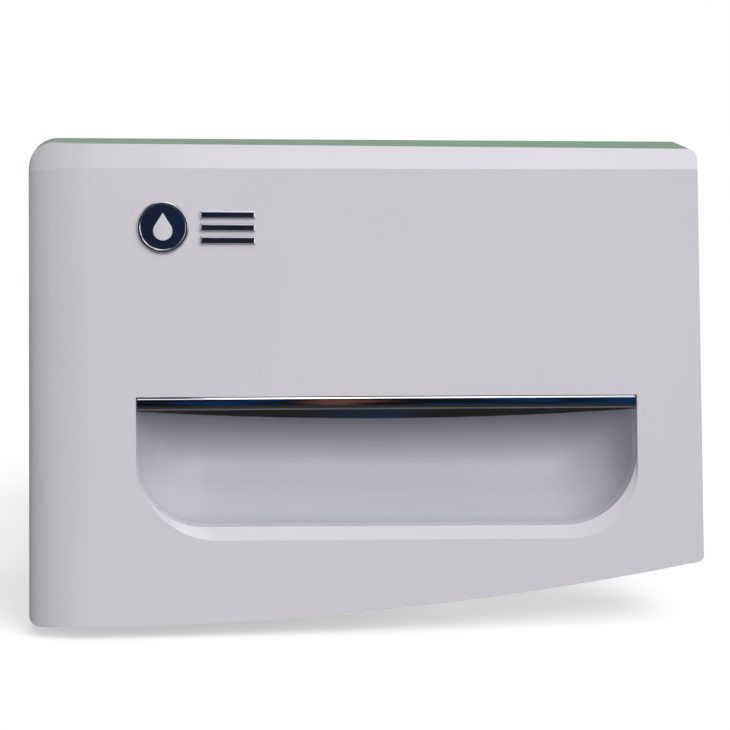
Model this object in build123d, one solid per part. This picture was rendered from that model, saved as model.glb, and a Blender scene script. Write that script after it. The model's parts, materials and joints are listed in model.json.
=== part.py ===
"""Detergent drawer of a front-load washing machine: the front with its recessed grip, and its tray.

Row frame, in millimetres: +X to the right of someone facing the front, +Y into the machine, +Z up.
The origin is on the tray's mid-plane (X), on the plane where the front closes against the machine (Y)
and on the underside of the runners the drawer slides on (Z).
The front leans back, so its pieces are drawn in a face frame and then carried over: local X along the
face, local Y up the face, local Z out of it, with the grip bar's top edge at local Y = 0.
"""
from build123d import *
from math import cos, radians, sin, tan
import os

# ---- front, in the face frame -------------------------------------------------------------------
LEAN, YAW = 7.0, 1.5                    # the face leans back, and turns so its right end is forward
FACE_Y, GRIP_TOP_Z = -30.5, -14.0       # where the face frame's origin is in the row frame
LEFT_X, RIGHT_X, TOP_Y = -124.1, 110.9, 87.6
LOW_Y, LOW_X, LOW_RADIUS = -77.6, -101.6, 1165.0   # curved bottom edge: lowest point and radius
TOP_LEFT_R, TOP_RIGHT_R, LOW_RIGHT_R, LOW_LEFT_R = 10.0, 4.0, 2.8, 3.5
TOP_WALL_RISE = 16.0                    # the top wall rises away from the face by this many degrees
ROLL_WIDTH, ROLL_DEPTH, ROLL_FULLNESS = 23.0, 12.5, 0.56   # rolled left side of the face
WALL, OUTLINE_MARGIN = 2.6, 0.05    # the margin keeps the outline's top off the top wall
BAND_Y, BAND_FALL, BAND_TURN = 79.4, 1.7, 0.3    # bevelled band along the top of the face
FRONT_DEPTH, REACH = 80.0, 150.0        # REACH is past the front's ends, for blocks that are cut to it
# Grip recess
GRIP_LEFT, GRIP_RIGHT, GRIP_TOP = -87.3, 87.4, 0.35
GRIP_LOW_LEFT, GRIP_LOW_RIGHT = -48.6, -49.9
GRIP_LEFT_R, GRIP_RIGHT_R = 28.0, 24.0
LIP_DEPTH, LIP_RISE, LIP_LEFT_R, LIP_RIGHT_R = 1.1, 4.7, 23.0, 26.0    # shallow dished rim of the recess
PAD_WIDTH, PAD_TOP, PAD_DEPTH = 7.0, 20.0, 6.2
CUP_DEPTH, CUP_WALL, CUP_TOP, CUP_TOP_R = 24.0, 2.0, 9.0, 6.0
CUP_SIDE_INSET, CUP_LOW_INSET, CUP_TOP_INSET, CUP_R_LOSS = 22.0, 33.0, 4.0, 16.0
FLANGE_WIDTH, FLANGE_TOP, FLANGE_THICK = 6.0, 19.0, 1.8
PILOT_DEPTH = 4.8                       # screw holes in the pad behind the face
POCKET_SCREWS = [(-70, 15), (5, 15), (70, 15), (-45, -51.5), (5, -52), (50, -52)]
# Grip bar
BAR_HALF, BAR_END_LOW, BAR_MID_LOW, BAR_MID_X = 86.9, -4.55, -7.3, 6.0
BAR_CREASE_Y, BAR_FACET_LEAN, BAR_PROUD, BAR_CROWN_R = -4.2, 28.0, 0.35, 9.0
BAR_CROWN = BAR_CROWN_R - (BAR_CROWN_R ** 2 - (BAR_CREASE_Y / 2) ** 2) ** 0.5    # how far the facet bulges
BAR_SKIN, BAR_SKIN_DEPTH, BAR_CORNER_R = 1.2, 4.0, 0.8
BAR_FLANGE_HALF, BAR_FLANGE_TOP, BAR_FLANGE_THICK = 82.0, 8.0, 2.0
BAR_SCREWS = [(-74, 4.3), (-26, 4.3), (26, 4.3), (74, 4.3)]
# Emblem and badge
EMBLEM_X, EMBLEM_Y, EMBLEM_R, EMBLEM_RING, EMBLEM_ROUND = -77.95, 58.6, 8.8, 1.2, 0.5
EMBLEM_SEAT, EMBLEM_TAPE, EMBLEM_BODY, RING_STEP = 0.6, 0.2, 1.3, 0.4
DROP_R, DROP_TIP, DROP_SINK, DROP_THICK = 3.3, 6.2, 1.3, 0.5
BADGE_X, BADGE_Y, BADGE_WIDTH, BADGE_BAR, BADGE_PITCH = -55.75, 58.7, 18.9, 2.7, 4.4
BADGE_THICK, BADGE_ROUND = 1.2, 0.7
# ---- frame inside the front, in the row frame -----------------------------------------------------
FRAME_LEFT, FRAME_RIGHT, FRAME_HALF_HEIGHT, FRAME_THICK, FRAME_R = -113.0, 106.0, 60.0, 3.0, 8.0
WINDOW_HALF, WINDOW_LOW, WINDOW_TOP = 80.0, -35.5, 2.0
FRAME_SCREWS = [(-104, -54), (-104, 4), (-104, 50), (100, -46), (100, 4), (100, 50)]
FRAME_RIBS, RIB_THICK, RIB_HEIGHT, RIB_MARGIN = (16, 54), 1.6, 3.0, 14.0
BUFFERS = [(-72, 36), (72, 36)]
BUFFER_R, BUFFER_HEIGHT, BUFFER_ROUND = 5.0, 3.2, 1.2
BUFFER_STUD_R, BUFFER_SNAP_R, BUFFER_SNAP = 2.0, 2.8, 1.6
SEAL_LOW, SEAL_TOP, SEAL_THICK, SEAL_MARGIN = 56.0, 59.0, 2.0, 8.0
# ---- tray, in the row frame -----------------------------------------------------------------------
TRAY_HALF, TRAY_LENGTH, TRAY_TOP, TRAY_LOW = 84.0, 252.0, 14.0, -54.0
TRAY_WALL, FLOOR_FALL, TRAY_CORNER_R, TRAY_FLOOR_R = 2.2, 5.8, 5.0, 1.5
DIVIDERS = (-10.0, 38.0)                # middles of the two dividing walls
SOFTENER_END = 200.0
BAY_START, SHELF_TOP = 202.2, -12.0     # bay for the release tab behind the softener chamber
OUTLET_MARGIN, OUTLET_TOP, OUTLET_R = 8.0, -22.0, 4.0
FLANGE_OUT, RUNNER_THICK, RUNNER_START, RUNNER_END, RUNNER_R = 6.0, 1.5, 8.0, 244.0, 2.0
RAIL_THICK = 2.5
TRAY_SCREWS = [(-60, -41.5), (60, -41.5), (-60, 6), (14, 6), (60, 6)]
TRAY_BOSS_LENGTH = 2.0
RAIL_MARGIN, RAIL_HOLE_OUT, STUD_YS = 4.0, 3.0, (30, 126, 222)
STUD_R, STUD_HEAD_R, STUD_HEAD = 1.6, 2.2, 1.0
STOP_Y, STOP_LENGTH, STOP_WIDTH, STOP_HEIGHT, STOP_ROUND, STOP_STUD_R = 240.0, 12.0, 5.2, 5.0, 1.5, 1.2
# Siphon and its cap
SIPHON_Y, SIPHON_R, SIPHON_BORE, SIPHON_TOP = 178.0, 3.5, 2.0, -8.0
CAP_START, CAP_END, CAP_Z, CAP_THICK, CAP_GAP, CAP_CORNER_R = 141.0, 199.0, 6.0, 2.0, 0.5, 6.0
CAP_TUBE_R, CAP_TUBE_BORE, CAP_TUBE_GAP = 7.0, 5.5, 2.5
CAP_SKIRT, CAP_SKIRT_THICK, CAP_SKIRT_MARGIN = 16.0, 1.6, 6.0
CAP_HANDLE_HALF, CAP_HANDLE_Y, CAP_HANDLE_THICK, CAP_HANDLE_HEIGHT = 12.0, 158.0, 3.0, 4.0
CAP_HANDLE_ROUND = 1.2
# Liquid panel
PANEL_Y, PANEL_AXIS_Z, PANEL_PIN_R, PANEL_THICK, PANEL_GAP = 130.0, 6.0, 2.0, 2.0, 0.5
PANEL_BARREL_R, PANEL_FLOOR_GAP, PANEL_CORNER_R = 3.0, 1.5, 4.0
PANEL_RIBS, PANEL_RIB_HALF, PANEL_RIB_HEIGHT, PANEL_RIB_THICK = (-34, -24, -14), 22.0, 1.2, 1.6
PIN_CLEARANCE, PIN_REACH, BORE_REACH = 0.05, 1.2, 1.3   # how far pins and their bores go into the walls
# Release tab
TAB_AXIS_Y, TAB_AXIS_Z, TAB_PIN_R, TAB_BARREL_R = 208.0, -2.0, 1.5, 3.4
TAB_END, TAB_THICK, TAB_MARGIN, TAB_INSET = 251.0, 2.2, 3.0, 8.0
HOOK_TOP, HOOK_THICK, HOOK_SLOPE = 19.0, 5.0, 5.0
TAB_GRIPS, GRIP_RIB, GRIP_RISE = (224, 228, 232), 1.6, 1.0
# Screws
SHANK_R, HEAD_R, HEAD_HEIGHT, HEAD_ROUND = 1.5, 2.7, 2.0, 0.7
DRIVE_R, DRIVE_WIDTH, DRIVE_DEPTH = 1.3, 0.6, 1.2
BOSS_R, CLEAR_R = 3.8, 1.7


def face_plane():
    """The face frame, placed in the row frame."""
    lean, yaw = radians(LEAN), radians(YAW)
    out = (-sin(yaw) * cos(lean), -cos(yaw) * cos(lean), sin(lean))
    return Plane(origin=(0, FACE_Y, GRIP_TOP_Z), x_dir=(cos(yaw), -sin(yaw), 0), z_dir=out)


FACE = face_plane()


def box(x0, x1, y0, y1, z0, z1):
    """A block between two corners."""
    return Pos((x0 + x1) / 2, (y0 + y1) / 2, (z0 + z1) / 2) * Box(x1 - x0, y1 - y0, z1 - z0)


def round_corner(face, x, y, radius):
    """The face with its corner nearest (x, y) rounded."""
    return fillet(face.vertices().sort_by_distance((x, y, 0))[0], radius)


def rounded_outline(corners):
    """A face bounded by straight lines, from (x, y, radius) corners that are each rounded."""
    edges, ends = [], []
    for i, (x, y, radius) in enumerate(corners):
        corner = Vector(x, y)
        before, after = corners[i - 1], corners[(i + 1) % len(corners)]
        to_before = (Vector(before[0], before[1]) - corner).normalized()
        to_after = (Vector(after[0], after[1]) - corner).normalized()
        half = radians(to_before.get_angle(to_after)) / 2
        start = corner + to_before * (radius / tan(half))
        end = corner + to_after * (radius / tan(half))
        middle = corner + (to_before + to_after).normalized() * (radius / sin(half) - radius)
        edges.append(ThreePointArc(start, middle, end) if radius else None)
        ends.append((start, end))
    lines = [Line(ends[i - 1][1], ends[i][0]) for i in range(len(ends))]
    return make_face(lines + [edge for edge in edges if edge])


def along_y(radius, x, z, y0, y1):
    """A round bar parallel to the row's Y."""
    return Pos(x, (y0 + y1) / 2, z) * Rot(90, 0, 0) * Cylinder(radius, y1 - y0)


def along_x(radius, y, z, x0, x1):
    """A round bar parallel to X."""
    return Pos((x0 + x1) / 2, y, z) * Rot(0, 90, 0) * Cylinder(radius, x1 - x0)


# ---- the front's outer form ---------------------------------------------------------------------
def plan_section(inset, y, fall):
    """The face with its rolled left side, seen from above at local height y and set back by fall."""
    start, left, right = LEFT_X + ROLL_WIDTH, LEFT_X + inset, RIGHT_X - inset
    handle_x, handle_z = ROLL_FULLNESS * (start - left), ROLL_FULLNESS * (ROLL_DEPTH - inset)
    front = Line((right, 0, -inset), (start, 0, -inset))
    roll = Bezier(
        (start, 0, -inset),
        (start - handle_x, 0, -inset),
        (left, 0, handle_z - ROLL_DEPTH),
        (left, 0, -ROLL_DEPTH),
    )
    back_corners = (left, 0, -FRONT_DEPTH), (right, 0, -FRONT_DEPTH)
    back = Polyline((left, 0, -ROLL_DEPTH), *back_corners, (right, 0, -inset))
    return Pos(0, y, -fall) * make_face([front, roll, back])


def plan_block(inset):
    """The face and its roll carried straight up, and then set back along the bevelled band."""
    low = plan_section(inset, -REACH, 0)
    band_start = Rot(0, 0, BAND_TURN) * plan_section(inset, BAND_Y, 0)
    past_top = plan_section(inset, 2 * TOP_Y - BAND_Y, 2 * BAND_FALL)
    return loft([low, band_start], ruled=True) + loft([band_start, past_top], ruled=True)


def low_edge(x):
    """Height of the front's curved bottom edge at x."""
    return LOW_Y + (x - LOW_X) ** 2 / (2 * LOW_RADIUS)


def upper_block(inset):
    """The front's sides and top corners, carried back along the rising top wall."""
    rise = radians(TOP_WALL_RISE)
    left, right = LEFT_X + inset, RIGHT_X - inset
    top = TOP_Y - inset - (BAND_FALL + inset) * tan(rise) + OUTLINE_MARGIN
    top_corners = [(right, top, TOP_RIGHT_R - inset), (left, top, TOP_LEFT_R - inset)]
    outline = rounded_outline([(left, -REACH, 0), (right, -REACH, 0)] + top_corners)
    back = (0, sin(rise), -cos(rise))
    return extrude(outline, FRONT_DEPTH, dir=back) + extrude(outline, 1.0, dir=(0, 0, 1))


def lower_block(inset):
    """The front's curved bottom and sides, carried straight back from the face."""
    left, right = LEFT_X + inset, RIGHT_X - inset
    middle = (LEFT_X + RIGHT_X) / 2
    low = [(x, low_edge(x) + inset) for x in (left, middle, right)]
    rest = Polyline(low[2], (right, REACH), (left, REACH), low[0])
    outline = make_face([ThreePointArc(*low), rest])
    outline = round_corner(outline, *low[0], max(LOW_LEFT_R - inset, 1.0))
    outline = round_corner(outline, *low[2], max(LOW_RIGHT_R - inset, 1.0))
    return extrude(outline, FRONT_DEPTH, dir=(0, 0, -1)) + extrude(outline, 1.0, dir=(0, 0, 1))


def side_block(inset):
    """Everything below the rising top wall."""
    rise = radians(TOP_WALL_RISE)
    top = Vector(-REACH, TOP_Y - inset, -BAND_FALL - inset)
    along = Vector(0, sin(rise), -cos(rise))
    front, back = top - along * BAND_Y, top + along * FRONT_DEPTH
    outline = Polyline(front, back, (-REACH, -REACH, back.Z), (-REACH, -REACH, front.Z), front)
    return extrude(make_face(outline), 2 * REACH, dir=(1, 0, 0))


def front_block(inset=0.0):
    """The front as a filled block, with every surface moved in by inset."""
    return plan_block(inset) & upper_block(inset) & lower_block(inset) & side_block(inset)


# ---- the grip recess ----------------------------------------------------------------------------
def grip_outline(z, grow=0.0, top=GRIP_TOP):
    """The recess's rounded outline on the face, grown outwards and set at local height z."""
    left, right = GRIP_LEFT - grow, GRIP_RIGHT + grow
    low_left = (left, GRIP_LOW_LEFT - grow, GRIP_LEFT_R + grow)
    low_right = (right, GRIP_LOW_RIGHT - grow, GRIP_RIGHT_R + grow)
    return Pos(0, 0, z) * rounded_outline([(left, top, 0), low_left, low_right, (right, top, 0)])


def lip_outline():
    """The inner edge of the recess's dished lower rim."""
    low_left = (GRIP_LEFT, GRIP_LOW_LEFT + LIP_RISE, LIP_LEFT_R)
    low_right = (GRIP_RIGHT, GRIP_LOW_RIGHT + LIP_RISE, LIP_RIGHT_R)
    corners = [(GRIP_LEFT, GRIP_TOP, 0), low_left, low_right, (GRIP_RIGHT, GRIP_TOP, 0)]
    return Pos(0, 0, -LIP_DEPTH) * rounded_outline(corners)


def cup_outline(angle, wall=0.0):
    """One level of the cup: an elliptical bowl, with angle 0 at its mouth and 90 at its back."""
    turn = 1 - cos(radians(angle))
    depth = LIP_DEPTH + (CUP_DEPTH + wall) * sin(radians(angle))
    left = GRIP_LEFT + CUP_SIDE_INSET * turn - wall
    right = GRIP_RIGHT - CUP_SIDE_INSET * turn + wall
    low_left = GRIP_LOW_LEFT + LIP_RISE + CUP_LOW_INSET * turn - wall
    low_right = GRIP_LOW_RIGHT + LIP_RISE + CUP_LOW_INSET * turn - wall
    top = CUP_TOP - CUP_TOP_INSET * turn + wall
    extra = wall - CUP_R_LOSS * turn
    low_corners = [(left, low_left, LIP_LEFT_R + extra), (right, low_right, LIP_RIGHT_R + extra)]
    top_r = CUP_TOP_R + wall
    return Pos(0, 0, -depth) * rounded_outline([(left, top, top_r)] + low_corners + [(right, top, top_r)])


def cup_block(wall=0.0):
    """The bowl as a filled block."""
    return loft([cup_outline(angle, wall) for angle in (0, 25, 50, 70, 90)])


def front_panel():
    """Gloss shell of the front: rolled side, top band, grip opening with its lip, and screw bosses."""
    block = front_block()
    shell = block - front_block(WALL)
    pad = extrude(grip_outline(-WALL / 2, PAD_WIDTH, PAD_TOP), PAD_DEPTH - WALL / 2, dir=(0, 0, -1))
    bowl = cup_block() & box(-REACH, REACH, -REACH, GRIP_TOP, -100, 0)
    shell = shell + (pad & block) - loft([grip_outline(0), lip_outline()]) - bowl
    for x, y in POCKET_SCREWS + BAR_SCREWS:
        shell -= Pos(x, y, -PAD_DEPTH) * Cylinder(SHANK_R, 2 * PILOT_DEPTH)
    shell -= Pos(EMBLEM_X, EMBLEM_Y, 0) * Cylinder(EMBLEM_R + 0.2, 2 * EMBLEM_SEAT)
    shell = FACE * shell
    outside = FACE * block
    for x, z in FRAME_SCREWS:
        shell += along_y(BOSS_R, x, z, -60, -FRAME_THICK) & outside
    shell -= box(-200, 200, 0, 200, -200, 200)
    for x, z in FRAME_SCREWS:
        shell -= along_y(SHANK_R, x, z, -11, -FRAME_THICK)
    return shell


def handle_pocket():
    """Bowl behind the grip opening, with the flange that is screwed to the front."""
    flange = extrude(grip_outline(-PAD_DEPTH, FLANGE_WIDTH, FLANGE_TOP), FLANGE_THICK, dir=(0, 0, -1))
    behind_pad = box(-REACH, REACH, -REACH, REACH, -100, -PAD_DEPTH)
    cup = flange + (cup_block(CUP_WALL) & behind_pad) - cup_block()
    for x, y in POCKET_SCREWS:
        cup -= Pos(x, y, -PAD_DEPTH) * Cylinder(CLEAR_R, 3 * FLANGE_THICK)
    return FACE * cup


# ---- the grip bar -------------------------------------------------------------------------------
def bar_block(inset, back):
    """The bar as a filled block: crowned upper facet, and a crescent facet leaning back under it."""
    half = BAR_HALF - inset
    left_low, right_low = (-half, BAR_END_LOW + inset), (half, BAR_END_LOW + inset)
    low = ThreePointArc(left_low, (BAR_MID_X, BAR_MID_LOW + inset), right_low)
    rest = Polyline(right_low, (half, -inset), (-half, -inset), left_low)
    outline = Pos(0, 0, BAR_PROUD - inset) * make_face([low, rest])
    block = extrude(outline, BAR_PROUD - inset - back, dir=(0, 0, -1))
    block &= along_x(BAR_CROWN_R - inset, BAR_CREASE_Y / 2, BAR_PROUD - BAR_CROWN_R, -REACH, REACH)
    lean = radians(BAR_FACET_LEAN)
    hinge = Pos(0, BAR_CREASE_Y + inset * sin(lean) / 2, BAR_PROUD - BAR_CROWN - inset)
    return block - hinge * Rot(BAR_FACET_LEAN, 0, 0) * Pos(0, -10, 10) * Box(2 * REACH, 20, 20)


def grip_bar():
    """Chromed skin of the grip bar."""
    skin = bar_block(0, -BAR_SKIN_DEPTH) - bar_block(BAR_SKIN, -BAR_SKIN_DEPTH)
    top_corners = skin.edges().filter_by(Axis.Z).group_by(Axis.Y)[-1]
    return FACE * fillet(top_corners, BAR_CORNER_R)


def grip_bar_core():
    """Plastic core of the bar, with the flange that is screwed behind the front."""
    back = -PAD_DEPTH - BAR_FLANGE_THICK
    core = bar_block(BAR_SKIN, back)
    half = BAR_FLANGE_HALF
    core += box(-half, half, BAR_CREASE_Y + BAR_SKIN, BAR_FLANGE_TOP, back, -PAD_DEPTH)
    for x, y in BAR_SCREWS:
        core -= Pos(x, y, -PAD_DEPTH) * Cylinder(CLEAR_R, 3 * BAR_FLANGE_THICK)
    return FACE * core


# ---- emblem and badge ---------------------------------------------------------------------------
def emblem_tape():
    """Adhesive disc under the emblem."""
    disc = Pos(EMBLEM_X, EMBLEM_Y, -EMBLEM_SEAT + EMBLEM_TAPE / 2) * Cylinder(EMBLEM_R - 0.6, EMBLEM_TAPE)
    return FACE * disc


def emblem_base():
    """Coloured disc of the emblem."""
    z = -EMBLEM_SEAT + EMBLEM_TAPE
    disc = Cylinder(EMBLEM_R - EMBLEM_RING, EMBLEM_BODY)
    return FACE * Pos(EMBLEM_X, EMBLEM_Y, z + EMBLEM_BODY / 2) * disc


def emblem_ring():
    """Bright ring around the emblem."""
    height = EMBLEM_BODY + RING_STEP
    ring = Cylinder(EMBLEM_R, height) - Cylinder(EMBLEM_R - EMBLEM_RING, height)
    ring = fillet(ring.edges().group_by(Axis.Z)[-1], EMBLEM_ROUND)
    return FACE * Pos(EMBLEM_X, EMBLEM_Y, -EMBLEM_SEAT + EMBLEM_TAPE + height / 2) * ring


def emblem_mark():
    """Plain water drop standing on the emblem."""
    side = DROP_R * (1 - (DROP_R / DROP_TIP) ** 2) ** 0.5
    rise = DROP_R * DROP_R / DROP_TIP
    round_part = ThreePointArc((-side, rise), (0, -DROP_R), (side, rise))
    drop = make_face([round_part, Polyline((side, rise), (0, DROP_TIP), (-side, rise))])
    z = -EMBLEM_SEAT + EMBLEM_TAPE + EMBLEM_BODY
    return FACE * Pos(EMBLEM_X, EMBLEM_Y - DROP_SINK, z) * extrude(drop, DROP_THICK)


def badge_bars():
    """Three plain bars beside the emblem."""
    bars = []
    for step in (-1, 0, 1):
        place = Pos(BADGE_X, BADGE_Y + step * BADGE_PITCH, BADGE_THICK / 2)
        bar = place * Box(BADGE_WIDTH, BADGE_BAR, BADGE_THICK)
        bars.append(FACE * fillet(bar.edges().group_by(Axis.Z)[-1], BADGE_ROUND))
    return Compound(bars)


# ---- frame inside the front ---------------------------------------------------------------------
def front_frame():
    """Plate that closes the front's back and carries the tray."""
    plate = box(FRAME_LEFT, FRAME_RIGHT, -FRAME_THICK, 0, -FRAME_HALF_HEIGHT, FRAME_HALF_HEIGHT)
    plate = fillet(plate.edges().filter_by(Axis.Y), FRAME_R)
    window = box(-WINDOW_HALF, WINDOW_HALF, -10, 10, WINDOW_LOW, WINDOW_TOP)
    plate -= fillet(window.edges().filter_by(Axis.Y), FRAME_R)
    left, right = FRAME_LEFT + RIB_MARGIN, FRAME_RIGHT - RIB_MARGIN
    for z in FRAME_RIBS:
        low, top = z - RIB_THICK / 2, z + RIB_THICK / 2
        plate += box(left, right, -FRAME_THICK - RIB_HEIGHT, -FRAME_THICK, low, top)
    for x, z in TRAY_SCREWS:
        plate += along_y(BOSS_R, x, z, -FRAME_THICK - TRAY_BOSS_LENGTH, -FRAME_THICK)
        plate -= along_y(SHANK_R, x, z, -FRAME_THICK - TRAY_BOSS_LENGTH, 0)
    for x, z in FRAME_SCREWS:
        plate -= along_y(CLEAR_R, x, z, -FRAME_THICK, 0)
    for x, z in BUFFERS:
        plate -= along_y(BUFFER_STUD_R, x, z, -FRAME_THICK, 0)
    return plate


def stop_buffers():
    """Rubber buffers that meet the machine when the drawer is shut."""
    buffers = []
    for x, z in BUFFERS:
        head = along_y(BUFFER_R, x, z, 0, BUFFER_HEIGHT)
        head = fillet(head.edges().group_by(Axis.Y)[-1], BUFFER_ROUND)
        snap = along_y(BUFFER_SNAP_R, x, z, -FRAME_THICK - BUFFER_SNAP, -FRAME_THICK)
        buffers.append(head + along_y(BUFFER_STUD_R, x, z, -FRAME_THICK, 0) + snap)
    return Compound(buffers)


def drip_seal():
    """Foam strip along the top of the frame."""
    return box(FRAME_LEFT + SEAL_MARGIN, FRAME_RIGHT - SEAL_MARGIN, 0, SEAL_THICK, SEAL_LOW, SEAL_TOP)


# ---- tray ---------------------------------------------------------------------------------------
def underside(y):
    """Height of the tray's sloping underside at y."""
    return TRAY_LOW + FLOOR_FALL * (1 - y / TRAY_LENGTH)


def prism(x0, x1, y0, y1, lift, top):
    """A block whose bottom runs parallel to the tray's underside, lift above it."""
    corners = [(y0, underside(y0) + lift), (y1, underside(y1) + lift), (y1, top), (y0, top)]
    points = [(x0, y, z) for y, z in corners]
    side = make_face(Polyline(*points, points[0]))
    return extrude(side, x1 - x0, dir=(1, 0, 0))


def chamber(x0, x1, y0, y1):
    """The space inside one compartment."""
    space = prism(x0, x1, y0, y1, TRAY_WALL, TRAY_TOP + 5)
    space = fillet(space.edges().filter_by(Axis.Z), TRAY_CORNER_R)
    return fillet(space.faces().sort_by(Axis.Z)[0].edges(), TRAY_FLOOR_R)


def chamber_sides():
    """The three compartments' left and right limits."""
    half = TRAY_WALL / 2
    first, second = DIVIDERS
    inner = TRAY_HALF - TRAY_WALL
    return [(-inner, first - half), (first + half, second - half), (second + half, inner)]


def tray_outlets():
    """Openings at the back of the two outer compartments, where the water carries the detergent out."""
    main, _, pre = chamber_sides()
    back = TRAY_LENGTH
    cuts = []
    for x0, x1 in (main, pre):
        low = underside(back) + TRAY_WALL + 1
        left, right = x0 + OUTLET_MARGIN, x1 - OUTLET_MARGIN
        window = box(left, right, back - 2 * TRAY_WALL, back + 2, low, OUTLET_TOP)
        cuts.append(fillet(window.edges().filter_by(Axis.Y), OUTLET_R))
    return cuts


def tray_rails():
    """Flanges along both sides, with holes for the runner strips and the stops."""
    rails = []
    for side in (-1, 1):
        x0, x1 = sorted((side * (TRAY_HALF - 1), side * (TRAY_HALF + FLANGE_OUT)))
        rail = box(x0, x1, RAIL_MARGIN, TRAY_LENGTH - RAIL_MARGIN, RUNNER_THICK, RUNNER_THICK + RAIL_THICK)
        holes = [(y, STUD_R) for y in STUD_YS] + [(STOP_Y, STOP_STUD_R)]
        for y, radius in holes:
            rail -= Pos(side * (TRAY_HALF + RAIL_HOLE_OUT), y, 0) * Cylinder(radius, 4 * RAIL_THICK)
        rails.append(rail)
    return rails


def softener_fittings(tray):
    """Siphon post, the cap's ledges and the release tab's bay."""
    x0, x1 = chamber_sides()[1]
    middle = (x0 + x1) / 2
    floor = underside(SIPHON_Y)
    tray += Pos(middle, SIPHON_Y, (floor + 1 + SIPHON_TOP) / 2) * Cylinder(SIPHON_R, SIPHON_TOP - floor - 1)
    tray -= Pos(middle, SIPHON_Y, -30) * Cylinder(SIPHON_BORE, 80)
    for left, right in ((x0 - 1, x0 + 2), (x1 - 2, x1 + 1)):
        tray += box(left, right, CAP_START, SOFTENER_END + 1, CAP_Z - 2, CAP_Z)
    tray -= box(x0, x1, BAY_START, TRAY_LENGTH + 5, SHELF_TOP, TRAY_TOP + 5)
    tray -= prism(x0, x1, BAY_START, TRAY_LENGTH + 5, TRAY_WALL, SHELF_TOP - TRAY_WALL)
    return tray


def tray_body():
    """Moulded tray with three compartments, the middle one with a siphon post."""
    tray = prism(-TRAY_HALF, TRAY_HALF, 0, TRAY_LENGTH, 0, TRAY_TOP)
    tray = fillet(tray.edges().filter_by(Axis.Z).group_by(Axis.Y)[-1], TRAY_CORNER_R)
    main, softener, pre = chamber_sides()
    for x0, x1 in (main, pre):
        tray -= chamber(x0, x1, TRAY_WALL, TRAY_LENGTH - TRAY_WALL)
    tray -= chamber(*softener, TRAY_WALL, SOFTENER_END)
    for rail in tray_rails():
        tray += rail
    tray = softener_fittings(tray)
    for cut in tray_outlets():
        tray -= cut
    for x, z in TRAY_SCREWS:
        tray -= along_y(CLEAR_R, x, z, -1, TRAY_WALL + 1)
    ends = main[0] - BORE_REACH, main[1] + BORE_REACH
    tray -= along_x(PANEL_PIN_R + PIN_CLEARANCE, PANEL_Y, PANEL_AXIS_Z, *ends)
    ends = softener[0] - BORE_REACH, softener[1] + BORE_REACH
    tray -= along_x(TAB_PIN_R, TAB_AXIS_Y, TAB_AXIS_Z, *ends)
    return tray


def runner(side):
    """Slippery strip under one flange, held by studs."""
    x0, x1 = sorted((side * (TRAY_HALF + 0.3), side * (TRAY_HALF + FLANGE_OUT)))
    strip = box(x0, x1, RUNNER_START, RUNNER_END, 0, RUNNER_THICK)
    strip = fillet(strip.edges().filter_by(Axis.Z), RUNNER_R)
    top = RUNNER_THICK + RAIL_THICK
    for y in STUD_YS:
        x = side * (TRAY_HALF + RAIL_HOLE_OUT)
        strip += Pos(x, y, (RUNNER_THICK + top) / 2) * Cylinder(STUD_R, RAIL_THICK)
        strip += Pos(x, y, top + STUD_HEAD / 2) * Cylinder(STUD_HEAD_R, STUD_HEAD)
    return strip


def rear_stops():
    """Blocks that stop the drawer from leaving the machine."""
    stops = []
    base = RUNNER_THICK + RAIL_THICK
    for side in (-1, 1):
        x = side * (TRAY_HALF + RAIL_HOLE_OUT)
        block = Pos(x, STOP_Y, base + STOP_HEIGHT / 2) * Box(STOP_WIDTH, STOP_LENGTH, STOP_HEIGHT)
        block = fillet(block.edges().filter_by(Axis.X), STOP_ROUND)
        stops.append(block + Pos(x, STOP_Y, base - RAIL_THICK / 2) * Cylinder(STOP_STUD_R, RAIL_THICK))
    return Compound(stops)


# ---- moving pieces of the tray ------------------------------------------------------------------
def siphon_cap():
    """Lift-out cap of the softener compartment, with the tube that stands over the siphon post."""
    x0, x1 = chamber_sides()[1]
    middle = (x0 + x1) / 2
    plate = box(x0 + CAP_GAP, x1 - CAP_GAP, CAP_START, CAP_END, CAP_Z, CAP_Z + CAP_THICK)
    plate = fillet(plate.edges().filter_by(Axis.Z), CAP_CORNER_R)
    tube_low = underside(SIPHON_Y) + TRAY_WALL + CAP_TUBE_GAP
    tube = Pos(middle, SIPHON_Y, (tube_low + CAP_Z) / 2) * Cylinder(CAP_TUBE_R, CAP_Z - tube_low)
    bore = Pos(middle, SIPHON_Y, (tube_low + CAP_Z) / 2) * Cylinder(CAP_TUBE_BORE, CAP_Z - tube_low)
    half = (x1 - x0) / 2 - CAP_SKIRT_MARGIN
    skirt_y = CAP_START + 1, CAP_START + 1 + CAP_SKIRT_THICK
    skirt = box(middle - half, middle + half, *skirt_y, CAP_Z - CAP_SKIRT, CAP_Z + CAP_THICK / 2)
    left, right = middle - CAP_HANDLE_HALF, middle + CAP_HANDLE_HALF
    handle_y = CAP_HANDLE_Y, CAP_HANDLE_Y + CAP_HANDLE_THICK
    handle = box(left, right, *handle_y, CAP_Z + CAP_THICK / 2, CAP_Z + CAP_THICK + CAP_HANDLE_HEIGHT)
    handle = fillet(handle.edges().group_by(Axis.Z)[-1], CAP_HANDLE_ROUND)
    return plate + tube - bore + skirt + handle


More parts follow.
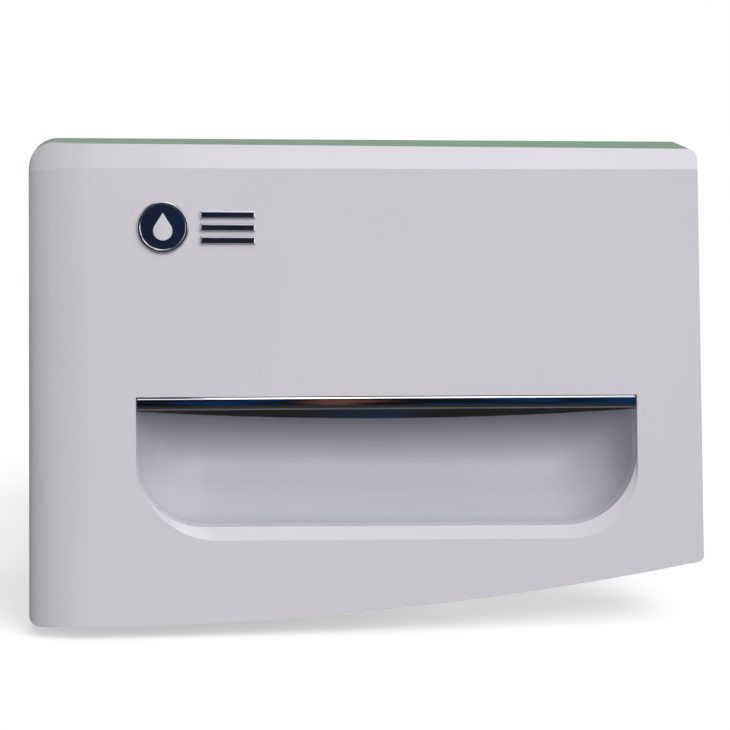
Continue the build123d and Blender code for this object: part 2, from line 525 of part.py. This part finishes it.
def liquid_panel():
    """Flap across the main compartment: down for liquid, swung up for powder."""
    x0, x1 = chamber_sides()[0]
    left, right = x0 + PANEL_GAP, x1 - PANEL_GAP
    low = underside(PANEL_Y) + TRAY_WALL + PANEL_FLOOR_GAP
    plate = box(left, right, PANEL_Y - PANEL_THICK / 2, PANEL_Y + PANEL_THICK / 2, low, PANEL_AXIS_Z)
    plate = fillet(plate.edges().filter_by(Axis.Y).group_by(Axis.Z)[0], PANEL_CORNER_R)
    plate += along_x(PANEL_BARREL_R, PANEL_Y, PANEL_AXIS_Z, left, right)
    plate += along_x(PANEL_PIN_R, PANEL_Y, PANEL_AXIS_Z, x0 - PIN_REACH, x1 + PIN_REACH)
    middle = (left + right) / 2
    for z in PANEL_RIBS:
        rib_y = PANEL_Y - PANEL_THICK / 2 - PANEL_RIB_HEIGHT, PANEL_Y
        rib_z = z - PANEL_RIB_THICK / 2, z + PANEL_RIB_THICK / 2
        plate += box(middle - PANEL_RIB_HALF, middle + PANEL_RIB_HALF, *rib_y, *rib_z)
    return plate


def release_tab():
    """Sprung tab that is pressed to take the drawer out, with its catch at the back."""
    x0, x1 = chamber_sides()[1]
    left, right = x0 + TAB_MARGIN, x1 - TAB_MARGIN
    z0 = TAB_AXIS_Z - TAB_THICK / 2
    plate = box(left, right, TAB_AXIS_Y, TAB_END, z0, z0 + TAB_THICK)
    inner, outer = left + TAB_INSET, right - TAB_INSET
    corners = [
        (TAB_END - HOOK_THICK, z0),
        (TAB_END, z0),
        (TAB_END, HOOK_TOP - HOOK_SLOPE),
        (TAB_END - HOOK_THICK + 1, HOOK_TOP),
        (TAB_END - HOOK_THICK, HOOK_TOP),
    ]
    points = [(inner, y, z) for y, z in corners]
    catch = extrude(make_face(Polyline(*points, points[0])), outer - inner, dir=(1, 0, 0))
    tab = plate + catch + along_x(TAB_BARREL_R, TAB_AXIS_Y, TAB_AXIS_Z, left, right)
    for y in TAB_GRIPS:
        rib_y = y - GRIP_RIB / 2, y + GRIP_RIB / 2
        tab += box(inner, outer, *rib_y, z0, z0 + TAB_THICK + GRIP_RISE)
    return tab - along_x(TAB_PIN_R + PIN_CLEARANCE, TAB_AXIS_Y, TAB_AXIS_Z, left - 1, right + 1)


def release_pin():
    """Steel pin the release tab turns on."""
    x0, x1 = chamber_sides()[1]
    return along_x(TAB_PIN_R, TAB_AXIS_Y, TAB_AXIS_Z, x0 - PIN_REACH, x1 + PIN_REACH)


# ---- screws -------------------------------------------------------------------------------------
def screw(length):
    """A pan-head screw along -Z: the head's seat is at z = 0 and the head is above it."""
    head = Pos(0, 0, HEAD_HEIGHT / 2) * Cylinder(HEAD_R, HEAD_HEIGHT)
    head = fillet(head.edges().group_by(Axis.Z)[-1], HEAD_ROUND)
    blade = Box(2 * DRIVE_R, DRIVE_WIDTH, 2 * DRIVE_DEPTH)
    head -= Pos(0, 0, HEAD_HEIGHT) * (blade + Rot(0, 0, 90) * blade)
    return head + Pos(0, 0, -length / 2) * Cylinder(SHANK_R, length)


def face_screws(places, seat, length):
    """Screws put in from behind the face at the given places."""
    return Compound([FACE * Pos(x, y, seat) * Rot(180, 0, 0) * screw(length) for x, y in places])


def rear_screws(places, seat, length):
    """Screws put in towards the front, parallel to the row's Y."""
    return Compound([Pos(x, seat, z) * Rot(-90, 0, 0) * screw(length) for x, z in places])


NODES = {
    "front_panel": front_panel(),
    "handle_pocket": handle_pocket(),
    "pocket_screws": face_screws(POCKET_SCREWS, -PAD_DEPTH - FLANGE_THICK, 6.2),
    "grip_bar": grip_bar(),
    "grip_bar_core": grip_bar_core(),
    "grip_bar_screws": face_screws(BAR_SCREWS, -PAD_DEPTH - BAR_FLANGE_THICK, 6.4),
    "emblem_tape": emblem_tape(),
    "emblem_base": emblem_base(),
    "emblem_ring": emblem_ring(),
    "emblem_mark": emblem_mark(),
    "badge_bars": badge_bars(),
    "front_frame": front_frame(),
    "frame_screws": rear_screws(FRAME_SCREWS, 0, 10.5),
    "stop_buffers": stop_buffers(),
    "drip_seal": drip_seal(),
    "tray_body": tray_body(),
    "tray_screws": rear_screws(TRAY_SCREWS, TRAY_WALL, 7.0),
    "runner_left": runner(-1),
    "runner_right": runner(1),
    "rear_stops": rear_stops(),
    "siphon_cap": siphon_cap(),
    "liquid_panel": liquid_panel(),
    "release_tab": release_tab(),
    "release_pin": release_pin(),
}

os.makedirs("parts", exist_ok=True)
for name, shape in NODES.items():
    export_step(shape, f"parts/{name}.step")
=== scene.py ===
"""Looks, light and camera for the detergent drawer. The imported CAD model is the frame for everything."""
import json
from math import cos, radians, sin

import bpy
from mathutils import Matrix, Vector


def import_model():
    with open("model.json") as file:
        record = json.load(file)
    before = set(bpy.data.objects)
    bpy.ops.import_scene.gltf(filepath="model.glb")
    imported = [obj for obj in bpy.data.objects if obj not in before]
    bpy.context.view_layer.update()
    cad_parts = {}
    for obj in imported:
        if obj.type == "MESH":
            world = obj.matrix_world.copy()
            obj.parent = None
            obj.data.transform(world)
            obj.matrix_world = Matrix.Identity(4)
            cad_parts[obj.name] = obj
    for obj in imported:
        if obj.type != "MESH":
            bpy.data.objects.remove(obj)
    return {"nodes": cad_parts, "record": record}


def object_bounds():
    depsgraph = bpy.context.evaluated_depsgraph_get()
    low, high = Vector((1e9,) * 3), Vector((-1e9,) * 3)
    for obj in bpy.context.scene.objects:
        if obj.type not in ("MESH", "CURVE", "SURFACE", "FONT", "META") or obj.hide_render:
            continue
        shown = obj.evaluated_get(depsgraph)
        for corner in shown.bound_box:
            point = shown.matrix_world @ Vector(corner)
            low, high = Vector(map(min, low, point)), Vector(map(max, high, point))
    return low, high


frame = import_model()
NODES = frame["nodes"]
CAD_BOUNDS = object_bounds()
MM = 0.001

# ---- the face's own frame: X along the face, Y up it, Z out of it ---------------------------------
LEAN, YAW = radians(7.0), radians(1.5)
FACE_ORIGIN = Vector((0, -30.5, -14.0)) * MM
# ---- camera, in the face's frame ------------------------------------------------------------------
CAMERA_PLACE = Vector((-73.6, -12.2, 619.0)) * MM
CAMERA_PAN, CAMERA_TILT, CAMERA_ROLL = radians(-5.996), radians(2.145), radians(-0.449)
CAMERA_LENS, CAMERA_SENSOR, CAMERA_NEAR = 88.77, 36.0, 0.01
# ---- tones ----------------------------------------------------------------------------------------
NOTHING, WHITE = (0, 0, 0), (1, 1, 1)
BLACK, NAVY, BROWN = (0.006, 0.006, 0.008), (0.004, 0.032, 0.10), (0.16, 0.07, 0.055)
BACKDROP_GREEN = (0.05, 0.22, 0.06)
ROOM_FILL, ROOM_FILL_STRENGTH = (0.93, 0.94, 1.0), 0.06
PAPER_DARKER, PAPER_LIGHTER = (0.86, 0.86, 0.865), (0.88, 0.88, 0.885)
# to the gloss the floor shows a painted reflection: dark clouds of black, navy and brown, and a lighter
# painted stripe of light across it
FLOOR_BLACK, FLOOR_NAVY, FLOOR_BROWN = (0.007, 0.006, 0.006), (0.004, 0.016, 0.045), (0.05, 0.024, 0.018)
PAINTED_STRIPE_TONE, FLOOR_FILL = (0.17, 0.16, 0.17), (0.3, 0.3, 0.31)
# ---- what the gloss reflects: (place on the ramp, tone) -------------------------------------------
PAINTED_LIGHT_STRIPE = [(0.31, NOTHING), (0.35, WHITE), (0.42, WHITE), (0.47, NOTHING)]      # in metres
PAINTED_REFLECTION_CLOUDS = [(0.34, FLOOR_BROWN), (0.44, FLOOR_BLACK), (0.56, FLOOR_BLACK), (0.66, FLOOR_NAVY)]
ROOM_COLUMNS = [
    (0.22, BLACK), (0.29, NAVY), (0.34, BLACK), (0.40, BROWN), (0.45, BLACK),
    (0.55, BLACK), (0.61, NAVY), (0.67, BLACK), (0.73, NAVY), (0.85, BLACK),
]
ROOM_BAND = [(0.10, NOTHING), (0.28, WHITE), (0.62, WHITE), (0.78, NOTHING)]
SIDE_GLOW = 0.45                        # brightness of the room's two sides
FLOOR_GLOW, FLOOR_SIZE = 0.5, 120       # the glow makes the floor meet the white behind it
# ---- lights: name, azimuth, elevation, strength, angle; angles are in degrees ---------------------
SUNS = (
    ("front", 8, 25, 1.36, 40),
    ("above", 0, 60, 0.29, 40),
    ("right", 45, 45, 0.93, 40),
    ("rear", 155, 8, 1.3, 20),
    ("rear_left", -125, 8, 0.8, 20),
)
SUN_COLOUR = (1.0, 0.985, 1.0)
# ---- softboxes: name, azimuth, elevation, size in metres, radiance --------------------------------
SOFTBOXES = (
    ("strip_above", 22, 38, (1.5, 0.5), 1.6),
    ("strip_right", 72, 18, (0.35, 0.9), 3.0),
    ("strip_line", 0, 29, (2.6, 0.12), 0.9),
    ("overhead", 60, 86, (1.4, 1.4), 1.5),
)
SOFTBOX_DISTANCE = 2.0
WATTS_FOR_RADIANCE = 4                  # an area light's power per square metre, for a radiance of one
# ---- shader numbers -------------------------------------------------------------------------------
NOISE_RANGE = (0.3, 0.7)                # where most of a noise texture's values lie
MIX_FACTOR, MIX_FIRST, MIX_SECOND, MIX_RESULT = 0, 6, 7, 2      # a colour mix's sockets, by index
GLOSS_IOR, SATIN_IOR = 1.5, 1.49
COAT_ROUGHNESS, PAPER_ROUGHNESS = 0.06, 0.9
SCATTER_RADIUS = (0.004, 0.004, 0.0035)


def face_matrix():
    """The face's own frame, placed in the drawer's."""
    out = Vector((-sin(YAW) * cos(LEAN), -cos(YAW) * cos(LEAN), sin(LEAN)))
    along = Vector((cos(YAW), -sin(YAW), 0))
    up = out.cross(along)
    turn = Matrix((along, up, out)).transposed().to_4x4()
    return Matrix.Translation(FACE_ORIGIN) @ turn


FACE = face_matrix()


# ---- shader helpers -------------------------------------------------------------------------------
def new_material(name):
    """An empty node material with its shader and output."""
    mat = bpy.data.materials.new(name)
    mat.use_nodes = True
    nodes, links = mat.node_tree.nodes, mat.node_tree.links
    nodes.clear()
    output = nodes.new("ShaderNodeOutputMaterial")
    shader = nodes.new("ShaderNodeBsdfPrincipled")
    links.new(shader.outputs["BSDF"], output.inputs["Surface"])
    return mat, nodes, links, shader


def noise(nodes, links, scale, detail=3.0, rough=0.5, stretch=(1, 1, 1)):
    """Noise in the object's own space; scale is in features per metre."""
    place = nodes.new("ShaderNodeTexCoord")
    mapping = nodes.new("ShaderNodeMapping")
    mapping.inputs["Scale"].default_value = stretch
    texture = nodes.new("ShaderNodeTexNoise")
    texture.inputs["Scale"].default_value = scale
    texture.inputs["Detail"].default_value = detail
    texture.inputs["Roughness"].default_value = rough
    links.new(place.outputs["Object"], mapping.inputs["Vector"])
    links.new(mapping.outputs["Vector"], texture.inputs["Vector"])
    return texture.outputs["Fac"]


def ramp(nodes, links, value, stops):
    """A colour ramp over a value; stops are (position, colour)."""
    node = nodes.new("ShaderNodeValToRGB")
    node.color_ramp.interpolation = "EASE"
    elements = node.color_ramp.elements
    while len(elements) < len(stops):
        elements.new(0.5)               # its place is set just below
    for element, (position, colour) in zip(elements, stops):
        element.position = position
        element.color = (*colour, 1.0)
    links.new(value, node.inputs["Fac"])
    return node.outputs["Color"]


def map_range(nodes, links, value, low, high, source=NOISE_RANGE, clamp=False):
    """Carries a value over from the source range to the range low to high."""
    node = nodes.new("ShaderNodeMapRange")
    node.clamp = clamp
    node.inputs["From Min"].default_value, node.inputs["From Max"].default_value = source
    node.inputs["To Min"].default_value, node.inputs["To Max"].default_value = low, high
    links.new(value, node.inputs["Value"])
    return node.outputs["Result"]


def mix_colour(nodes, links, factor, first, second):
    """Blends two colours, each a plain value or another node's output."""
    node = nodes.new("ShaderNodeMix")
    node.data_type = "RGBA"
    links.new(factor, node.inputs[MIX_FACTOR])
    for socket, colour in ((node.inputs[MIX_FIRST], first), (node.inputs[MIX_SECOND], second)):
        if isinstance(colour, tuple):
            socket.default_value = (*colour, 1.0)
        else:
            links.new(colour, socket)
    return node.outputs[MIX_RESULT]


def bump(nodes, links, height, strength, distance, below=None):
    """A bump from a height value, on top of the one below where that is given; distance is in metres."""
    node = nodes.new("ShaderNodeBump")
    node.inputs["Strength"].default_value = strength
    node.inputs["Distance"].default_value = distance
    links.new(height, node.inputs["Height"])
    if below is not None:
        links.new(below, node.inputs["Normal"])
    return node.outputs["Normal"]


def tint(colour, factor):
    """A colour made lighter or darker."""
    return tuple(min(1.0, c * factor) for c in colour)


def uneven(nodes, links, value, colour, darkest, lightest, between=NOISE_RANGE):
    """A colour that drifts with a noise value, from a darker to a lighter factor of itself."""
    low, high = between
    return ramp(nodes, links, value, [(low, tint(colour, darkest)), (high, tint(colour, lightest))])


# ---- materials ------------------------------------------------------------------------------------
def gloss_plastic(name, colour, rough=0.16, coat=0.35, peel=0.06):
    """Injection-moulded gloss: slight orange peel, faint handling haze, almost even colour."""
    mat, nodes, links, shader = new_material(name)
    cloud = noise(nodes, links, scale=14, detail=2)
    drift = uneven(nodes, links, cloud, colour, darkest=0.985, lightest=1.012, between=(0.2, 0.8))
    links.new(drift, shader.inputs["Base Color"])
    haze = noise(nodes, links, scale=55, detail=4, rough=0.6)
    links.new(map_range(nodes, links, haze, rough * 0.85, rough * 1.2), shader.inputs["Roughness"])
    slow = noise(nodes, links, scale=420, detail=2)
    fine = bump(nodes, links, slow, strength=peel, distance=0.00005)
    quick = noise(nodes, links, scale=2600, detail=1)
    finest = bump(nodes, links, quick, strength=peel * 0.5, distance=0.00001, below=fine)
    links.new(finest, shader.inputs["Normal"])
    shader.inputs["Coat Weight"].default_value = coat
    shader.inputs["Coat Roughness"].default_value = COAT_ROUGHNESS
    shader.inputs["IOR"].default_value = GLOSS_IOR
    return mat


def moulded_plastic(name, colour, rough=0.42, grain=0.25, through=0.0):
    """Satin moulded plastic with a fine spark-eroded grain."""
    mat, nodes, links, shader = new_material(name)
    cloud = noise(nodes, links, scale=22)
    drift = uneven(nodes, links, cloud, colour, darkest=0.96, lightest=1.03)
    links.new(drift, shader.inputs["Base Color"])
    haze = noise(nodes, links, scale=120)
    links.new(map_range(nodes, links, haze, rough * 0.85, rough * 1.15), shader.inputs["Roughness"])
    sparks = noise(nodes, links, scale=3200, detail=2)
    links.new(bump(nodes, links, sparks, strength=grain, distance=0.00003), shader.inputs["Normal"])
    shader.inputs["Subsurface Weight"].default_value = through
    shader.inputs["Subsurface Radius"].default_value = SCATTER_RADIUS
    shader.inputs["IOR"].default_value = SATIN_IOR
    return mat


def bright_chrome(name, colour, rough=0.045):
    """Chrome plate: mirror-bright, with faint smears and a plated surface's slow waviness."""
    mat, nodes, links, shader = new_material(name)
    cloud = noise(nodes, links, scale=40)
    drift = uneven(nodes, links, cloud, colour, darkest=0.94, lightest=1.04, between=(0.35, 0.65))
    links.new(drift, shader.inputs["Base Color"])
    smear = noise(nodes, links, scale=90, detail=5, rough=0.65, stretch=(0.3, 1, 1))
    links.new(map_range(nodes, links, smear, rough * 0.6, rough * 1.7), shader.inputs["Roughness"])
    waves = noise(nodes, links, scale=160, detail=1, stretch=(0.35, 1, 1))
    links.new(bump(nodes, links, waves, strength=0.05, distance=0.0002), shader.inputs["Normal"])
    shader.inputs["Metallic"].default_value = 1.0
    return mat


def satin_metal(name, colour, rough=0.37, metallic=0.9):
    """Satin metal with fine turned or rolled lines."""
    mat, nodes, links, shader = new_material(name)
    cloud = noise(nodes, links, scale=60)
    drift = uneven(nodes, links, cloud, colour, darkest=0.9, lightest=1.08)
    links.new(drift, shader.inputs["Base Color"])
    lines = noise(nodes, links, scale=900, rough=0.6, stretch=(0.08, 1, 1))
    links.new(map_range(nodes, links, lines, rough * 0.75, rough * 1.35), shader.inputs["Roughness"])
    links.new(bump(nodes, links, lines, strength=0.12, distance=0.00002), shader.inputs["Normal"])
    shader.inputs["Metallic"].default_value = metallic
    return mat


def soft_rubber(name, colour, rough=0.72, pores=0.4):
    """Rubber or foam with a fine pored surface."""
    mat, nodes, links, shader = new_material(name)
    cloud = noise(nodes, links, scale=180, detail=4)
    drift = uneven(nodes, links, cloud, colour, darkest=0.8, lightest=1.25)
    links.new(drift, shader.inputs["Base Color"])
    links.new(map_range(nodes, links, cloud, rough * 0.9, min(1.0, rough * 1.15)), shader.inputs["Roughness"])
    pored = noise(nodes, links, scale=2400)
    links.new(bump(nodes, links, pored, strength=pores, distance=0.00008), shader.inputs["Normal"])
    return mat


MATERIALS = {
    "front_gloss": gloss_plastic("front_gloss", (0.80, 0.785, 0.83)),
    # the bowl's base colour, about a fifth darker than the front's, is painted shade for the recess
    "pocket_gloss": gloss_plastic("pocket_gloss", (0.635, 0.64, 0.70), rough=0.34, coat=0.15),
    "bar_chrome": bright_chrome("bar_chrome", (0.86, 0.86, 0.89)),
    "inner_plastic": moulded_plastic("inner_plastic", (0.74, 0.74, 0.75)),
    "screw_steel": satin_metal("screw_steel", (0.62, 0.63, 0.66)),
    "adhesive_foam": soft_rubber("adhesive_foam", (0.22, 0.22, 0.24)),
    "emblem_gloss": gloss_plastic("emblem_gloss", (0.012, 0.02, 0.045), rough=0.08, coat=1.0, peel=0.03),
    "mark_metal": bright_chrome("mark_metal", (0.66, 0.67, 0.71), rough=0.09),
    "mark_silver": satin_metal("mark_silver", (0.86, 0.87, 0.90), metallic=0.35),
    "buffer_rubber": soft_rubber("buffer_rubber", (0.035, 0.035, 0.038)),
    "tray_plastic": moulded_plastic("tray_plastic", (0.80, 0.80, 0.805), rough=0.36, through=0.08),
    "runner_plastic": moulded_plastic("runner_plastic", (0.26, 0.28, 0.31), rough=0.33),
    "cap_plastic": moulded_plastic("cap_plastic", (0.10, 0.24, 0.47), rough=0.34, through=0.1),
    "panel_plastic": moulded_plastic("panel_plastic", (0.42, 0.55, 0.70), rough=0.33, through=0.15),
}


def dress_cad_nodes():
    """Gives each CAD node its material."""
    for entry in frame["record"]["subparts"]:
        node = NODES[entry["node"]]
        node.data.materials.clear()
        node.data.materials.append(MATERIALS[entry["material_slot"]])


# ---- stage, light and camera ----------------------------------------------------------------------
def mirrored_floor(nodes, links, across):
    """The floor as the gloss sees it, a painted reflection: dark, with clouds and a painted stripe of light
    across it ahead of the drawer, which is -Y.
    """
    ahead = map_range(nodes, links, across, 1.0, 0.0, (-1.0, 0.0))
    # a painted stripe of light across painted dark clouds, which the gloss and the chrome reflect
    stripe = ramp(nodes, links, ahead, PAINTED_LIGHT_STRIPE)
    clouds = noise(nodes, links, scale=9, detail=1, stretch=(1, 0.2, 1))
    return mix_colour(nodes, links, stripe, ramp(nodes, links, clouds, PAINTED_REFLECTION_CLOUDS), PAINTED_STRIPE_TONE)


def floor_paper():
    """Pale paper to the camera; the drawer gets little light from it, and its gloss sees a painted
    reflection: dark, with a painted stripe of light.
    """
    mat, nodes, links, shader = new_material("floor_paper")
    low, high = NOISE_RANGE
    cloud = noise(nodes, links, scale=3, detail=2)
    pale = ramp(nodes, links, cloud, [(low, PAPER_DARKER), (high, PAPER_LIGHTER)])
    path = nodes.new("ShaderNodeLightPath")
    place, parts = nodes.new("ShaderNodeTexCoord"), nodes.new("ShaderNodeSeparateXYZ")
    links.new(place.outputs["Object"], parts.inputs["Vector"])
    mirrored = mirrored_floor(nodes, links, parts.outputs["Y"])
    shown = mix_colour(nodes, links, path.outputs["Is Glossy Ray"], FLOOR_FILL, mirrored)
    shown = mix_colour(nodes, links, path.outputs["Is Camera Ray"], shown, pale)
    links.new(shown, shader.inputs["Base Color"])
    glow = map_range(nodes, links, path.outputs["Is Camera Ray"], 0, FLOOR_GLOW, (0, 1))
    links.new(glow, shader.inputs["Emission Strength"])
    shader.inputs["Emission Color"].default_value = (*WHITE, 1)
    shader.inputs["Roughness"].default_value = PAPER_ROUGHNESS
    return mat


def stage_floor():
    """A plain pale floor under the lowest point of the drawer."""
    bpy.ops.mesh.primitive_plane_add(size=FLOOR_SIZE, location=(0, 0, CAD_BOUNDS[0][2]))
    floor = bpy.context.object
    floor.name = "floor"
    floor.data.materials.append(floor_paper())


def towards(azimuth, elevation):
    """Unit vector from the drawer to a light: azimuth in degrees from straight ahead to the right."""
    turn, rise = radians(azimuth), radians(elevation)
    return Vector((sin(turn) * cos(rise), -cos(turn) * cos(rise), sin(rise)))


def aim(light, direction):
    """Links a light, turns it to shine back along direction and hides it from the camera."""
    bpy.context.scene.collection.objects.link(light)
    light.rotation_euler = direction.to_track_quat("Z", "Y").to_euler()
    light.visible_camera = False


def soft_sun(name, azimuth, elevation, strength, angle):
    """Broad light on the surfaces themselves; the gloss sees the softboxes instead."""
    data = bpy.data.lights.new(name, "SUN")
    data.angle = radians(angle)
    data.energy = strength
    data.color = SUN_COLOUR
    light = bpy.data.objects.new(name, data)
    aim(light, towards(azimuth, elevation))
    light.visible_glossy = False


def softbox(name, azimuth, elevation, size, radiance):
    """A rectangle of light that the gloss and the chrome reflect."""
    data = bpy.data.lights.new(name, "AREA")
    data.shape = "RECTANGLE"
    data.size, data.size_y = size
    data.energy = WATTS_FOR_RADIANCE * radiance * size[0] * size[1]
    light = bpy.data.objects.new(name, data)
    aim(light, towards(azimuth, elevation))
    light.location = towards(azimuth, elevation) * SOFTBOX_DISTANCE
    light.visible_diffuse = False


def lights():
    """Soft studio light from the front and above, a low fill for the back, and what the gloss reflects."""
    for sun in SUNS:
        soft_sun(*sun)
    for box in SOFTBOXES:
        softbox(*box)


def maths(nodes, links, operation, *values):
    """One math node on other nodes' outputs."""
    node = nodes.new("ShaderNodeMath")
    node.operation = operation
    for value, socket in zip(values, node.inputs):
        links.new(value, socket)
    return node.outputs[0]


def reflected_room(nodes, links):
    """What the gloss sees around it: a dark studio, lighter to both sides, and a green backdrop behind."""
    place, parts = nodes.new("ShaderNodeTexCoord"), nodes.new("ShaderNodeSeparateXYZ")
    links.new(place.outputs["Generated"], parts.inputs["Vector"])
    cloud = nodes.new("ShaderNodeTexNoise")
    cloud.inputs["Scale"].default_value = 7.0
    cloud.inputs["Detail"].default_value = 1.0
    links.new(place.outputs["Generated"], cloud.inputs["Vector"])
    columns = map_range(nodes, links, parts.outputs["X"], 0.0, 1.0, (-0.12, 0.32))
    wander = map_range(nodes, links, cloud.outputs["Fac"], -0.06, 0.06)
    room = ramp(nodes, links, maths(nodes, links, "ADD", columns, wander), ROOM_COLUMNS)
    height = map_range(nodes, links, parts.outputs["Z"], 0.0, 1.0, (-0.3, 0.7))
    band = ramp(nodes, links, height, ROOM_BAND)
    room = mix_colour(nodes, links, band, BLACK, room)
    beside = maths(nodes, links, "ABSOLUTE", parts.outputs["X"])
    sides = map_range(nodes, links, beside, 0.0, SIDE_GLOW, (0.5, 0.75), clamp=True)
    room = mix_colour(nodes, links, sides, room, WHITE)
    behind = map_range(nodes, links, parts.outputs["Y"], 0.0, 1.0, (0.1, 0.6), clamp=True)
    return mix_colour(nodes, links, behind, room, BACKDROP_GREEN)


def world():
    """White behind the object, hardly any fill, and a dark studio for the gloss and the chrome to reflect."""
    scene_world = bpy.data.worlds.new("studio")
    bpy.context.scene.world = scene_world
    scene_world.use_nodes = True
    nodes, links = scene_world.node_tree.nodes, scene_world.node_tree.links
    nodes.clear()
    fill, mirrored, white = (nodes.new("ShaderNodeBackground") for _ in range(3))
    fill.inputs["Color"].default_value = (*ROOM_FILL, 1)
    fill.inputs["Strength"].default_value = ROOM_FILL_STRENGTH
    white.inputs["Color"].default_value = (*WHITE, 1)
    links.new(reflected_room(nodes, links), mirrored.inputs["Color"])
    path = nodes.new("ShaderNodeLightPath")
    shown = fill.outputs["Background"]
    for ray, background in (("Is Glossy Ray", mirrored), ("Is Camera Ray", white)):
        mix = nodes.new("ShaderNodeMixShader")
        links.new(path.outputs[ray], mix.inputs["Fac"])
        links.new(shown, mix.inputs[1])
        links.new(background.outputs["Background"], mix.inputs[2])
        shown = mix.outputs["Shader"]
    output = nodes.new("ShaderNodeOutputWorld")
    links.new(shown, output.inputs["Surface"])


def camera():
    """The photograph's viewpoint: 0.62 m in front of the face, left of the middle, turned towards it."""
    data = bpy.data.cameras.new("camera")
    data.sensor_width = CAMERA_SENSOR
    data.lens = CAMERA_LENS
    data.clip_start = CAMERA_NEAR
    cam = bpy.data.objects.new("camera", data)
    bpy.context.scene.collection.objects.link(cam)
    place = FACE @ Matrix.Translation(CAMERA_PLACE)
    for angle, axis in ((CAMERA_PAN, "Y"), (CAMERA_TILT, "X"), (CAMERA_ROLL, "Z")):
        place = place @ Matrix.Rotation(angle, 4, axis)
    cam.matrix_world = place
    bpy.context.scene.camera = cam


dress_cad_nodes()
stage_floor()
lights()
world()
camera()
bpy.context.scene.view_settings.view_transform = "Standard"
bpy.context.scene.view_settings.look = "None"
